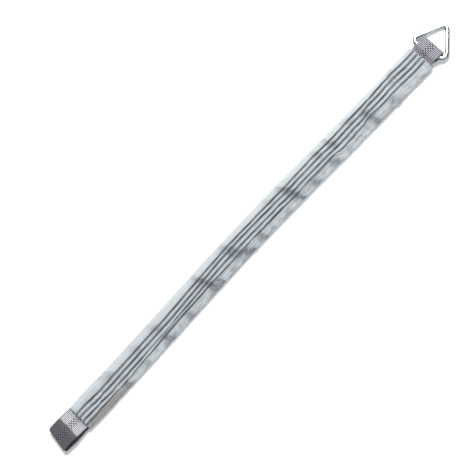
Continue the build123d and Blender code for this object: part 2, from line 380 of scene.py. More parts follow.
def settle_sleeve(grid):
    """Cloth simulation: the sleeve is longer than the web, so it settles round it in soft crumples."""
    rings, around = grid.shape[:2]
    flat_uv = np.zeros((rings, around + 1, 2))
    cloth = new_object("sleeve_settling", *loops_to_mesh(grid, flat_uv, "open"))
    held = cloth.vertex_groups.new(name="held")
    held_rings = [*range(HELD_RINGS), *range(rings - HELD_RINGS, rings)]
    held.add([i * around + j for i in held_rings for j in range(around)], 1.0, "REPLACE")
    core = box_object("core", (-STRAP_END, -WEB_WIDTH / 2, 1.2 * MM), (STRAP_END, WEB_WIDTH / 2, 6.0 * MM))
    ground = box_object("ground", (-0.7, -0.2, -0.05), (0.7, 0.2, -FLOOR_GAP))
    collide(core, 1.0 * MM)
    collide(ground, 1.0 * MM)
    scene = bpy.context.scene
    modifier = cloth.modifiers.new("Cloth", "CLOTH")
    settings, collision = modifier.settings, modifier.collision_settings
    settings.quality = 7
    settings.mass = 0.25
    settings.air_damping = 4
    settings.tension_stiffness = settings.compression_stiffness = 18
    settings.shear_stiffness = 6
    settings.bending_stiffness = 0.35
    settings.tension_damping = settings.compression_damping = 12
    settings.bending_damping = 1.0
    settings.vertex_group_mass = "held"
    settings.shrink_min = -GROWTH
    collision.use_collision = True
    collision.distance_min = 0.8 * MM
    collision.collision_quality = 3
    collision.use_self_collision = False
    modifier.point_cache.frame_start, modifier.point_cache.frame_end = 1, SIM_FRAMES
    for step in range(1, SIM_FRAMES + 1):
        scene.frame_set(step)
    settled = cloth.evaluated_get(bpy.context.evaluated_depsgraph_get())
    points = np.zeros(rings * around * 3)
    settled.data.vertices.foreach_get("co", points)
    for obj in (cloth, core, ground):
        bpy.data.objects.remove(obj, do_unlink=True)
    scene.frame_set(1)
    return points.reshape(rings, around, 3)


CLOTH_CAP = 3.5 * MM            # how far the settling may move a point of the sleeve
CLOTH_GAP = 0.45 * MM           # kept between the sleeve and the web
CALM = 70 * MM                  # the sleeve lies smooth over this length behind each mouth
CALM_SHARE = 0.12               # of the settling that is left at the mouths


def capped(start, settled, s):
    """The settled sleeve, smoother towards its mouths and kept clear of the web inside it."""
    move = settled - start
    move[:, :, 1] -= move[:, :, 1].mean(axis=1, keepdims=True)
    far = np.linalg.norm(move, axis=-1, keepdims=True)
    share = CALM_SHARE + (1 - CALM_SHARE) * smoothstep((STRAP_END - np.abs(s) - 12 * MM) / CALM)
    grid = start + share[:, None, None] * move * np.minimum(1, CLOTH_CAP / np.maximum(far, 1e-9))
    middle = start[:, :, 2].mean(axis=1, keepdims=True)
    over_web = np.abs(grid[:, :, 1]) < WEB_WIDTH / 2 + 1.5 * MM
    upper = start[:, :, 2] > middle
    top = np.maximum(grid[:, :, 2], middle - WEB_DROP + PLY + CLOTH_GAP)
    bottom = np.minimum(grid[:, :, 2], middle - WEB_DROP - PLY - CLOTH_GAP)
    grid[:, :, 2] = np.where(over_web, np.where(upper, top, bottom), grid[:, :, 2])
    return grid


def doubled(grid, closed):
    """Twice as many rows along the first axis, on a smooth curve through the old ones."""
    if closed:
        around = np.concatenate([grid[-1:], grid, grid[:2]])
    else:
        around = np.concatenate([2 * grid[:1] - grid[1:2], grid, 2 * grid[-1:] - grid[-2:-1]])
    middle = (-around[:-3] + 9 * around[1:-2] + 9 * around[2:-1] - around[3:]) / 16
    rows = len(grid) * 2 if closed else len(grid) * 2 - 1
    out = np.zeros((rows,) + grid.shape[1:])
    out[0::2] = grid
    out[1::2] = middle
    return out


def grid_normals(grid):
    """Unit normals of a tube grid, pointing out of the tube."""
    along = np.gradient(grid, axis=0)
    wrapped = np.concatenate([grid[:, -1:], grid, grid[:, :1]], axis=1)
    around = (wrapped[:, 2:] - wrapped[:, :-2]) / 2
    normals = np.cross(around, along)
    normals /= np.maximum(np.linalg.norm(normals, axis=-1, keepdims=True), 1e-12)
    middle = grid.mean(axis=1, keepdims=True)
    if np.sum(normals * (grid - middle)) < 0:
        normals = -normals
    return normals


def sleeve_piece(name, grid, normals, s, first, last):
    """The sleeve's threads from one ring to another, with the whole sleeve's shading at its edges."""
    rows, around = grid[first:last + 1], grid.shape[1]
    uv = np.zeros((len(rows), around + 1, 2))
    uv[:, :, 0] = s[first:last + 1, None]
    for i, place in enumerate(s[first:last + 1]):
        uv[i, :, 1] = round_cloth(place, around)
    points, faces, corners = loops_to_mesh(rows, uv, "open")
    piece = new_object(name, points, faces, seam_fixed(np.array(corners)))
    piece.data.normals_split_custom_set_from_vertices(normals[first:last + 1].reshape(-1, 3).tolist())
    return piece


def round_cloth(place, around):
    """Distances round the sleeve from the middle of its top, towards +Y, at a place along the sling."""
    y, h = sleeve_outline(place, 80)
    length = np.sum(np.hypot(y - np.roll(y, 1), h - np.roll(h, 1)))
    v = np.arange(around + 1) * length / around
    v = np.where(v > length / 2, v - length, v)
    v[around] = 0.0
    return v


def seam_fixed(corners):
    """Faces that cross the underside's middle keep both their sides on one side of the UV seam."""
    quads = corners.reshape(-1, 4, 2)
    spread = quads[:, :, 1].max(axis=1) - quads[:, :, 1].min(axis=1)
    split = spread > SLEEVE_CUT_WIDTH / 2
    v = quads[split][:, :, 1]
    quads[split, :, 1] = np.where(v < 0, v + SLEEVE_CUT_WIDTH, v)
    return quads.reshape(-1, 2)


# ---- materials

class Nodes:
    """Short calls for building a node tree."""

    def __init__(self, name, roughness, metallic=0.0, sheen=0.0, sheen_roughness=0.5):
        self.material = bpy.data.materials.new(name)
        self.material.use_nodes = True
        self.tree = self.material.node_tree
        self.shader = self.tree.nodes["Principled BSDF"]
        for key, value in (("Roughness", roughness), ("Metallic", metallic), ("Sheen Weight", sheen),
                           ("Sheen Roughness", sheen_roughness)):
            self.shader.inputs[key].default_value = value

    def node(self, kind, **inputs):
        made = self.tree.nodes.new(kind)
        for key, value in inputs.items():
            self.put(made.inputs[key.replace("_", " ")], value)
        return made

    def put(self, socket, value):
        if isinstance(value, bpy.types.NodeSocket):
            self.tree.links.new(value, socket)
        else:
            socket.default_value = value

    def math(self, operation, *values, clamp=False):
        made = self.tree.nodes.new("ShaderNodeMath")
        made.operation = operation
        made.use_clamp = clamp
        for socket, value in zip(made.inputs, values):
            self.put(socket, value)
        return made.outputs[0]

    def times(self, first, second):
        return self.math("MULTIPLY", first, second)

    def plus(self, first, second):
        return self.math("ADD", first, second)

    def scaled(self, value, scale, offset):
        return self.math("MULTIPLY_ADD", value, scale, offset)

    def cloth_uv(self):
        """The place along the piece and across it, in metres."""
        uv = self.node("ShaderNodeUVMap")
        uv.uv_map = "cloth"
        split = self.node("ShaderNodeSeparateXYZ", Vector=uv.outputs["UV"])
        return split.outputs["X"], split.outputs["Y"]

    def noise(self, u, v, across, along, detail=3.0, seed=0.0):
        """Soft random values with patches of a size along and across, in metres."""
        place = self.node(
            "ShaderNodeCombineXYZ",
            X=self.math("DIVIDE", u, along), Y=self.math("DIVIDE", v, across), Z=seed,
        )
        made = self.node("ShaderNodeTexNoise", Vector=place.outputs[0], Scale=1.0, Detail=detail)
        return made.outputs["Fac"]

    def ramp(self, value, low, high, start=0.0, end=1.0):
        made = self.node("ShaderNodeMapRange")
        for key, number in (("Value", value), ("From Min", low), ("From Max", high),
                            ("To Min", start), ("To Max", end)):
            self.put(made.inputs[key], number)
        made.interpolation_type = "SMOOTHSTEP"
        return made.outputs[0]

    def mix(self, factor, first, second):
        made = self.tree.nodes.new("ShaderNodeMix")
        made.data_type = "RGBA"
        self.put(made.inputs[0], factor)
        for socket, value in ((made.inputs[6], first), (made.inputs[7], second)):
            self.put(socket, value if isinstance(value, bpy.types.NodeSocket) else (*value, 1))
        return made.outputs[2]

    def waves(self, place, pitch, phase=0.0):
        """From 0 to 1 and back once in each pitch."""
        angle = self.scaled(place, 2 * math.pi / pitch, phase)
        return self.scaled(self.math("COSINE", angle), 0.5, 0.5)

    def finish(self, colour, height=None, distance=0.0002, strength=0.6):
        self.put(self.shader.inputs["Base Color"], colour)
        if height is not None:
            bump = self.node("ShaderNodeBump", Height=height, Distance=distance, Strength=strength)
            self.put(self.shader.inputs["Normal"], bump.outputs["Normal"])
        return self.material


STRIPE_PITCH = 9.9 * MM
STRIPE_HALF = 2.35 * MM
STRIPE_MIDDLE, STRIPE_DRIFT = 1.3 * MM, 4.7 * MM     # the stripes lean towards +Y from the eye to the ring
SLEEVE_YARN = 0.85 * MM
WEB_YARN = 0.75 * MM

CLOTH_DULL, CLOTH_PALE, CLOTH_PATCH = (0.40, 0.43, 0.45), (0.50, 0.53, 0.55), (0.36, 0.39, 0.41)
# Next line: a dirt colour that also paints shade on the -Y side, a warm brown stained colour that also paints
# shade near the eye, and painted shade for the steep flanks of the folds.
SMUDGE_AND_SHADE, STAIN_AND_SHADE, FOLD_SHADE = (0.23, 0.245, 0.255), (0.235, 0.215, 0.19), (0.125, 0.14, 0.16)
# Next line: a painted highlight for the +Y side of the sleeve, and painted shade for the hollows of the
# weave.
CLOTH_LIT, WEAVE_GAP_SHADE = (0.66, 0.685, 0.70), (0.25, 0.275, 0.30)
STRIPE_DARK, STRIPE_TICK = (0.030, 0.038, 0.048), (0.080, 0.095, 0.112)
# Rib colours, groove then crown: the groove colour is painted shade in the grooves. The eye's lighter pair is
# painted light on its near half, the last pair painted shade on its far half.
WEB_RIBS = ((0.018, 0.017, 0.026), (0.50, 0.49, 0.56))      # groove and crown of a rib
EYE_RIBS_PAINTED_LIGHT = ((0.13, 0.125, 0.15), (0.72, 0.71, 0.75))
EYE_RIBS_PAINTED_SHADE = ((0.030, 0.027, 0.036), (0.078, 0.072, 0.09))
LATTICE_DARK, LATTICE_LIGHT = (0.022, 0.018, 0.032), (0.60, 0.60, 0.64)


def weave(nodes, u, v, pitch):
    """Height of a plain weave: yarns over and under each other."""
    over = nodes.math("SINE", nodes.times(u, math.pi / pitch))
    under = nodes.math("SINE", nodes.times(v, math.pi / pitch))
    return nodes.scaled(nodes.times(over, under), 0.5, 0.5)


def sleeve_material(name, striped):
    """White plain weave with dirt in places, and painted light and shade on its sides and folds; striped has
    the four dark lengthwise stripes.
    """
    nodes = Nodes(name, roughness=0.82, sheen=0.15)
    u, v = nodes.cloth_uv()
    warp_streak = nodes.noise(u, v, 0.9 * MM, 60 * MM, seed=2.0)
    patch = nodes.noise(u, v, 14 * MM, 26 * MM, seed=5.0)
    smudge_shade_noise = nodes.noise(u, v, 13 * MM, 19 * MM, 5.0, 13.0)
    height = weave(nodes, u, v, SLEEVE_YARN)
    ground = nodes.mix(nodes.ramp(warp_streak, 0.3, 0.7), CLOTH_DULL, CLOTH_PALE)
    ground = nodes.mix(nodes.ramp(patch, 0.45, 0.75, 0.0, 0.35), ground, CLOTH_PATCH)
    # Dirty patches all over, heavier towards the -Y side, where the extra darkening is painted shade on the
    # side away from the light.
    margin = nodes.ramp(v, -16 * MM, -30 * MM, 0.0, 1.0)
    smudge_and_shade = nodes.times(nodes.ramp(smudge_shade_noise, 0.43, 0.62), nodes.scaled(margin, 0.5, 0.28))
    ground = nodes.mix(smudge_and_shade, ground, SMUDGE_AND_SHADE)
    # A warm brown stained patch near the eye on the -Y side, which also paints shade on that side.
    stain_and_shade = nodes.times(nodes.ramp(u, -0.35, -0.40), nodes.ramp(v, -13 * MM, -22 * MM))
    ground = nodes.mix(nodes.times(stain_and_shade, 0.85), ground, STAIN_AND_SHADE)
    # Painted shade on the steep flanks of the folds, from a mesh attribute, broken up by noise.
    fold_shade_mask = nodes.tree.nodes.new("ShaderNodeAttribute")
    fold_shade_mask.attribute_name = "fold_shade"
    blotch = nodes.ramp(nodes.noise(u, v, 7 * MM, 7 * MM, 4.0, 17.0), 0.3, 0.6, 0.5, 1.0)
    fold_shade_mask = nodes.math("MULTIPLY", fold_shade_mask.outputs["Fac"], blotch, clamp=True)
    ground = nodes.mix(nodes.times(fold_shade_mask, 0.9), ground, FOLD_SHADE)
    # Painted highlight along the +Y side, which faces the light.
    lit = nodes.times(nodes.ramp(v, 10 * MM, 28 * MM), 0.5)
    ground = nodes.mix(lit, ground, CLOTH_LIT)
    # Painted shade in the hollows of the weave.
    ground = nodes.mix(nodes.ramp(height, 0.0, 0.5, 0.25, 0.0), ground, WEAVE_GAP_SHADE)
    if striped:
        share = nodes.math("DIVIDE", u, STRAP_END)
        lean = nodes.scaled(share, -STRIPE_MIDDLE, STRIPE_DRIFT)
        drift = nodes.scaled(lean, share, STRIPE_MIDDLE)
        wander = nodes.scaled(nodes.noise(u, 0.0, 1.0, 70 * MM, 1.0, 9.0), 2.4 * MM, -1.2 * MM)
        place = nodes.math("SUBTRACT", nodes.math("SUBTRACT", v, drift), wander)
        from_line = nodes.math("PINGPONG", nodes.plus(place, 10 * STRIPE_PITCH), STRIPE_PITCH / 2)
        edge = nodes.math("SUBTRACT", STRIPE_PITCH / 2, from_line)
        fray = nodes.times(nodes.noise(u, v, 1.2 * MM, 2.5 * MM, 2.0, 3.0), 0.7 * MM)
        frayed = nodes.plus(edge, fray)
        in_stripe = nodes.ramp(frayed, STRIPE_HALF - 0.1 * MM, STRIPE_HALF + 0.75 * MM, 1.0, 0.0)
        off_middle = nodes.math("ABSOLUTE", place)
        group = nodes.ramp(off_middle, 2 * STRIPE_PITCH - 0.5 * MM, 2 * STRIPE_PITCH, 1.0, 0.0)
        strength = nodes.ramp(nodes.noise(u, v, 5 * MM, 32 * MM, 2.0, 7.0), 0.35, 0.65, 0.74, 1.0)
        amount = nodes.times(nodes.times(in_stripe, group), strength)
        tick = nodes.ramp(height, 0.35, 0.8)
        dark = nodes.mix(tick, STRIPE_DARK, STRIPE_TICK)
        ground = nodes.mix(amount, ground, dark)
    return nodes.finish(ground, height, 0.12 * MM, 0.55)


def web_material(name, painted_shade_from=None):
    """Lilac-grey webbing: crosswise ribs, with painted shade in their grooves, and a middle band where dark
    floats make a lattice.
    Given a distance along the web, it is a lighter copy, painted light, and past that distance painted shade
    darkens it where the eye slopes away from the light."""
    nodes = Nodes(name, roughness=0.68, sheen=0.12, sheen_roughness=0.4)
    u, v = nodes.cloth_uv()
    ribs = nodes.waves(u, RIB)
    yarn = nodes.waves(v, WEB_YARN)
    slub = nodes.noise(u, v, 1.6 * MM, 0.8 * MM, seed=1.0)
    # The eye's copy takes lighter rib colours: painted light on the eye's near half.
    groove, crown = WEB_RIBS if painted_shade_from is None else EYE_RIBS_PAINTED_LIGHT
    # painted shade in the rib grooves
    colour = nodes.mix(nodes.ramp(ribs, 0.2, 0.85), groove, crown)
    colour = nodes.mix(nodes.ramp(slub, 0.5, 0.8, 0.0, 0.3), colour, groove)
    patch = nodes.noise(u, v, 12 * MM, 12 * MM, seed=4.0)
    # Past the given distance, with a ragged edge, painted shade darkens the eye's far half, which slopes away
    # from the light.
    if painted_shade_from is not None:
        ragged = nodes.scaled(patch, 5 * MM, painted_shade_from - 3.5 * MM)
        far_shade = nodes.ramp(nodes.math("SUBTRACT", u, ragged), 0.0, 3.5 * MM, 0.0, 0.93)
        shaded_ribs = nodes.mix(nodes.ramp(ribs, 0.05, 0.75), *EYE_RIBS_PAINTED_SHADE)
        colour = nodes.mix(far_shade, colour, shaded_ribs)
    column = nodes.math("FLOOR", nodes.math("DIVIDE", nodes.plus(v, LATTICE_HALF), LATTICE_COLUMN))
    shift = nodes.times(column, math.pi)
    wave = nodes.math("COSINE", nodes.scaled(u, 2 * math.pi / RIB / 2, shift))
    across = nodes.waves(nodes.plus(v, LATTICE_HALF + LATTICE_COLUMN / 2), LATTICE_COLUMN)
    in_band = nodes.ramp(nodes.math("ABSOLUTE", v), LATTICE_HALF - 0.4 * MM, LATTICE_HALF, 1.0, 0.0)
    dash = nodes.times(nodes.ramp(wave, -0.1, 0.4), nodes.ramp(across, 0.1, 0.4))
    colour = nodes.mix(nodes.times(dash, in_band), colour, LATTICE_DARK)
    light = nodes.times(nodes.ramp(wave, -0.2, -0.8), nodes.ramp(across, 0.3, 0.7))
    light = nodes.times(light, in_band)
    # The light floats of the lattice fade under the painted shade.
    if painted_shade_from is not None:
        light = nodes.times(light, nodes.scaled(far_shade, -0.75, 1.0))
    colour = nodes.mix(nodes.times(light, 0.6), colour, LATTICE_LIGHT)
    height = nodes.plus(nodes.times(yarn, 0.6), nodes.times(slub, 0.4))
    return nodes.finish(colour, height, 0.12 * MM, 0.5)


def lining_material():
    nodes = Nodes("lining_black", roughness=0.62)
    u, v = nodes.cloth_uv()
    twill = nodes.waves(nodes.plus(u, v), 1.1 * MM)
    dust = nodes.noise(u, v, 3 * MM, 5 * MM, seed=6.0)
    # the darker colour lies in the twill's grooves: painted shade
    colour = nodes.mix(nodes.ramp(twill, 0.2, 0.8), (0.003, 0.003, 0.004), (0.011, 0.010, 0.013))
    colour = nodes.mix(nodes.ramp(dust, 0.62, 0.8, 0.0, 0.25), colour, (0.05, 0.05, 0.055))
    return nodes.finish(colour, twill, 0.1 * MM, 0.5)


def thread_material(name, light, dark):
    """Twisted sewing thread: slanting plies along each stitch, with painted shade between them."""
    nodes = Nodes(name, roughness=0.55, sheen=0.2)
    u, v = nodes.cloth_uv()
    twist = nodes.waves(nodes.plus(u, v), 0.55 * MM)
    # the dark colour is painted shade in the grooves between the plies
    colour = nodes.mix(nodes.ramp(twist, 0.1, 0.7), dark, light)
    return nodes.finish(colour, twist, 0.12 * MM, 0.8)


def ring_material():
    """Bright plated wire: fine drawing lines along it, a few dull spots and handling marks, and painted
    reflection and shade along two sides of the wire.
    """
    nodes = Nodes("ring_steel", roughness=0.16, metallic=1.0)
    u, v = nodes.cloth_uv()
    drawn = nodes.noise(u, v, 0.25 * MM, 22 * MM, seed=3.0)
    cloud = nodes.noise(u, v, 5 * MM, 9 * MM, seed=8.0)
    scuff = nodes.noise(u, v, 0.5 * MM, 3.5 * MM, 5.0, 11.0)
    rough = nodes.ramp(cloud, 0.35, 0.75, 0.10, 0.24)
    rough = nodes.plus(rough, nodes.ramp(scuff, 0.66, 0.8, 0.0, 0.25))
    nodes.put(nodes.shader.inputs["Roughness"], rough)
    colour = nodes.mix(nodes.ramp(cloud, 0.4, 0.7, 0.0, 1.0), (0.80, 0.84, 0.85), (0.70, 0.75, 0.76))
    turn = nodes.math("DIVIDE", v, WIRE)
    outer = nodes.math("COSINE", turn)
    # painted dark reflection along the side of the wire away from outer
    colour = nodes.mix(nodes.ramp(outer, -0.50, -0.86, 0.0, 0.93), colour, (0.055, 0.065, 0.072))
    # painted grey shade along the outer side of the wire, so that it shows an edge
    colour = nodes.mix(nodes.ramp(outer, 0.72, 0.97, 0.0, 0.80), colour, (0.21, 0.24, 0.25))
    return nodes.finish(colour, drawn, 0.03 * MM, 0.35)


MATERIALS = {
    "sleeve_white": sleeve_material("sleeve_white", striped=True),
    "sleeve_hem": sleeve_material("sleeve_hem", striped=True),
    "sleeve_thread": thread_material("sleeve_thread", (0.50, 0.55, 0.60), (0.22, 0.26, 0.30)),
    "web_grey": web_material("web_grey"),
    # The eye's webbing: a lighter copy, painted light, with painted shade on the eye's far half.
    "web_grey_eye_painted_shading": web_material("web_grey_eye_painted_shading", painted_shade_from=38 * MM),
    "web_thread": thread_material("web_thread", (0.17, 0.16, 0.21), (0.05, 0.05, 0.07)),
    "lining_black": lining_material(),
    "ring_steel": ring_material(),
}


def dress(piece, slot, *nodes, look=None):
    """Gives a piece its finish, and hides the CAD nodes that it stands for."""
    piece.data.materials.clear()
    piece.data.materials.append(MATERIALS[look or slot])
    if nodes:
        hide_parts(*nodes)
    return piece


# ---- camera, light and floor

CAMERA_TILT = math.radians(17)      # off straight down, towards the side of the sling at -Y
SLING_SLOPE = math.radians(46.34)   # how the sling lies across the picture
VIEW_WIDTH = 0.8886
VIEW_MIDDLE = Vector((-0.01815, 0.03737, 0.01912))
LENS, SENSOR = 120.0, 36.0


def picture_axes():
    """The picture's right, up and backward directions."""
    along = Vector((1, 0, 0))
    back = Vector((0, -math.sin(CAMERA_TILT), math.cos(CAMERA_TILT)))
    side = back.cross(along)
    right = along * math.cos(SLING_SLOPE) - side * math.sin(SLING_SLOPE)
    up = along * math.sin(SLING_SLOPE) + side * math.cos(SLING_SLOPE)
    return right, up, back


def aimed(obj, location, right, up, back):
    """Puts an object at a place with its X, Y and Z along the three directions."""
    turn = Matrix((right, up, back)).transposed()
    obj.rotation_mode = "QUATERNION"
    obj.location = location
    obj.rotation_quaternion = turn.to_quaternion()
    return obj


def linked(name, data):
    made = bpy.data.objects.new(name, data)
    bpy.context.scene.collection.objects.link(made)
    return made


def make_camera():
    data = bpy.data.cameras.new("camera")
    data.lens, data.sensor_width = LENS, SENSOR
    data.clip_end = 20
    right, up, back = picture_axes()
    distance = VIEW_WIDTH * LENS / SENSOR
    bpy.context.scene.camera = aimed(linked("camera", data), VIEW_MIDDLE + back * distance, right, up, back)


def area_light(name, place, size, power, colour=(1, 1, 1)):
    """A soft light at a place, turned to the origin."""
    data = bpy.data.lights.new(name, "AREA")
    data.shape = "RECTANGLE"
    data.size, data.size_y = size
    data.energy = power
    data.color = colour
    light = linked(name, data)
    light.location = place
    light.rotation_mode = "QUATERNION"
    light.rotation_quaternion = (-Vector(place)).to_track_quat("-Z", "Y")


SKY_BANDS = ((0.0, 0.80), (0.16, 0.78), (0.22, 0.05), (0.42, 0.06), (0.75, 0.29))   # height, brightness


def make_lights():
    """A low soft key from the top of the picture, two weak fills, and the sky."""
    right, up, back = picture_axes()
    key_way = (up * 0.74 - right * 0.14 + back * 0.60).normalized()
    area_light("key", key_way * 5.2, (2.6, 1.6), 290)
    area_light("over", back * 4.0 - up * 0.6, (2.6, 2.6), 52)
    fill_way = (right * 0.9 - up * 0.5 + back * 1.0).normalized()
    area_light("fill", fill_way * 4.0, (2.2, 2.2), 26, (0.93, 0.97, 1.0))
    make_sky()


def make_sky():
    """Pale at the horizon, dark over it and half light overhead."""
    world = bpy.data.worlds.new("sky")
    world.use_nodes = True
    tree = world.node_tree
    background = tree.nodes["Background"]
    place = tree.nodes.new("ShaderNodeTexCoord")
    split = tree.nodes.new("ShaderNodeSeparateXYZ")
    ramp = tree.nodes.new("ShaderNodeValToRGB")
    tree.links.new(place.outputs["Generated"], split.inputs[0])
    tree.links.new(split.outputs["Z"], ramp.inputs["Fac"])
    tree.links.new(ramp.outputs["Color"], background.inputs["Color"])
    for height, _ in SKY_BANDS[2:]:
        ramp.color_ramp.elements.new(height)
    for element, (height, light) in zip(ramp.color_ramp.elements, SKY_BANDS):
        element.position = height
        element.color = (0.94 * light, 0.97 * light, light, 1)
    background.inputs["Strength"].default_value = 1.0
    bpy.context.scene.world = world


def make_floor():
    """A plain pale surface just under the sling."""
    half = 4.0
    floor = new_object("floor", [(-half, -half, 0), (half, -half, 0), (half, half, 0), (-half, half, 0)],
                       [(0, 1, 2, 3)], smooth=False)
    floor.location.z = -0.1 * MM
    nodes = Nodes("floor_pale", roughness=0.9)
    place = nodes.node("ShaderNodeTexCoord")
    grain = nodes.node("ShaderNodeTexNoise", Vector=place.outputs["Object"], Scale=9.0, Detail=4.0)
    nodes.finish(nodes.mix(grain.outputs["Fac"], (0.93, 0.93, 0.93), (0.955, 0.955, 0.955)))
    floor.data.materials.append(nodes.material)


# ---- pieces

def body(section):
    return f"strap_{section:02d}"


def carried(piece, first, last):
    """The piece rides on one section, or, across the joint between two, has its place baked into its mesh."""
    if first == last:
        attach(piece, body(first))
    else:
        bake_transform(piece)
    return piece


def make_sleeve():
    """The whole sleeve is settled as one cloth, then parted at the middles of the sections."""
    start, s = sleeve_rest_shape()
    grid = capped(start, settle_sleeve(start), s)
    grid = doubled(grid, closed=False)
    grid = doubled(grid.transpose(1, 0, 2), closed=True).transpose(1, 0, 2)
    s = np.interp(np.arange(len(grid)), np.arange(len(grid))[::2], s)
    grid, fold_shade = raise_folds(grid, grid_normals(grid), grid[:, :, 1])
    grid[:, :, 1] += (bow(s) + slip(s))[:, None]
    grid[:, :, 2] = np.maximum(grid[:, :, 2], 0.1 * MM)
    normals = grid_normals(grid)
    edges = [0] + [int(round((k + 0.5) * (len(s) - 1) / SECTIONS)) for k in range(SECTIONS)] + [len(s) - 1]
    pieces = []
    for number in range(SECTIONS + 1):
        first, last = edges[number], edges[number + 1]
        piece = sleeve_piece(f"sleeve_cloth_{number + 1:02d}", grid, normals, s, first, last)
        # painted shade for the folds, read by the sleeve's material
        layer = piece.data.attributes.new("fold_shade", "FLOAT", "POINT")
        layer.data.foreach_set("value", fold_shade[first:last + 1].ravel().astype(np.float32))
        nodes = [f"sleeve_{k:02d}" for k in (number, number + 1) if 1 <= k <= SECTIONS]
        dress(piece, "sleeve_white", *nodes)
        carried(piece, max(1, number), min(SECTIONS, number + 1))
        length = float(s[last] - s[first])
        pieces.append((piece, length))
    return pieces


def hem_profile():
    """Rounded outline of a hem's folded edge: rows of distance back from the mouth and height outward."""
    thick = 0.42 * MM
    outer = [(HEM * (1 - t), thick * float(smoothstep(np.array(2.5 * t)))) for t in np.linspace(0, 0.93, 9)]
    lip = [(0.4 * MM - 0.9 * MM * math.sin(a), -0.15 * MM + 0.57 * MM * math.cos(a))
           for a in np.linspace(0, math.pi, 9)]
    inner = [(HEM * t, -0.75 * MM) for t in np.linspace(0.1, 0.95, 5)]
    tail = [(HEM * 1.02, -0.5 * MM), (HEM * 1.03, -0.2 * MM)]
    return outer + lip + inner + tail


def outward(y, h):
    """Unit directions out of a closed outline."""
    dy, dh = np.roll(y, -1) - np.roll(y, 1), np.roll(h, -1) - np.roll(h, 1)
    size = np.hypot(dy, dh)
    ny, nh = -dh / size, dy / size
    turn = 1 if np.sum(ny * y + nh * h) > 0 else -1
    return turn * ny, turn * nh


def make_hem(name, node, side, section):
    """The turned-in mouth: the sleeve's edge doubled and closed round."""
    count = 160
    ripple = 0.06 * MM * np.sin(np.arange(count) * 2 * math.pi * 31 / count)
    rings, uv = [], []
    profile = hem_profile()
    for back, out in profile + profile[:1]:
        s = side * (STRAP_END - MOUTH_SET_BACK[side] - back)
        y, h = sleeve_outline(s, count)
        ny, nh = outward(y, h)
        out = out + ripple * (out > 0.1 * MM)
        rings.append(on_line(s, y + ny * out + slip(s), h + nh * out))
        uv.append(np.stack([np.full(count + 1, s), round_cloth(s, count)], axis=-1))
    points, faces, corners = loops_to_mesh(np.array(rings[:-1]), np.array(uv), "joined")
    piece = new_object(name, points, faces, seam_fixed(np.array(corners)))
    dress(piece, "sleeve_hem", node)
    carried(piece, section, section)


def make_inner_web():
    """The two sewn plies inside the sleeve, parted at the middles of the sections."""
    stops = [-WEB_START] + [(k - (SECTIONS - 1) / 2) * PITCH for k in range(SECTIONS)] + [WEB_START]
    pieces = []
    for number in range(SECTIONS + 1):
        count = max(2, int((stops[number + 1] - stops[number]) / (3 * MM)))
        x = np.linspace(stops[number], stops[number + 1], count)
        name = f"load_web_{number + 1:02d}"
        piece = ribbon(name, (x, x, 0 * x), WEB_WIDTH, 2 * PLY, columns=15, ribs=False)
        dress(piece, "web_grey", *[f"web_{k:02d}" for k in (number, number + 1) if 1 <= k <= SECTIONS])
        pieces.append(carried(piece, max(1, number), min(SECTIONS, number + 1)))
    return pieces


def ring_loop_path(offset, start):
    """Line of a ply round the ring's pocket, at an offset out from the pocket's inside."""
    radius = POCKET_RADIUS + offset
    lean = math.degrees(math.asin(POCKET_RADIUS / (POCKET_BACK - SEAM_END)))
    points = arc((POCKET_BACK, 0), radius, 90 + lean, 90, 8)
    points += arc((POCKET_FRONT, 0), radius, 90, -90, 40)
    points += arc((POCKET_BACK, 0), radius, -90, -90 - lean, 8)
    if start is None:
        return points
    x, h = start
    seam = SEAM_END - 0.6 * MM
    return [start, (seam, h)] + points + [(seam, -h), (x, -h)]


def make_ring_end():
    loop = smoothed(ring_loop_path(PLY / 2, (WEB_START, PLY / 2)), RIB_STEP, 3 * MM)
    fold = ribbon("ring_fold", loop, WEB_WIDTH, PLY)
    gather_fold(fold)
    dress(fold, "web_grey", "ring_fold_web")
    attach(fold, body(SECTIONS))
    path = smoothed(ring_loop_path(-LINING / 2, None), 0.5 * MM, 1 * MM)
    liner = ribbon("ring_pocket_liner", path, WEB_WIDTH - 1 * MM, LINING,
                   columns=33, ribs=False, edge=0.3 * MM)
    lean_tab(liner)
    dress(liner, "lining_black", "ring_liner")
    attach(liner, body(SECTIONS))


FOLD_GATHER = 0.4 * MM
TAB_LEAN = 2.2 * MM             # how far the tab leans towards +Y at the mouth


def gather_fold(fold):
    """The web's edges draw in a little where the ring's legs press on them."""
    front = POCKET_FRONT + POCKET_RADIUS
    for point in fold.data.vertices:
        near = smoothstep((point.co.x - (front - 9 * MM)) / (10 * MM))
        point.co.y *= 1 - float(near) * FOLD_GATHER / (WEB_WIDTH / 2)
    lean_tab(fold)


def lean_tab(piece):
    """Leans the web at the ring towards +Y where it comes out of the sleeve."""
    for point in piece.data.vertices:
        share = (POCKET_BACK + 10 * MM - point.co.x) / (POCKET_BACK + 10 * MM - STRAP_END)
        point.co.y += TAB_LEAN * float(smoothstep(np.array(share)))
    piece.data.update()


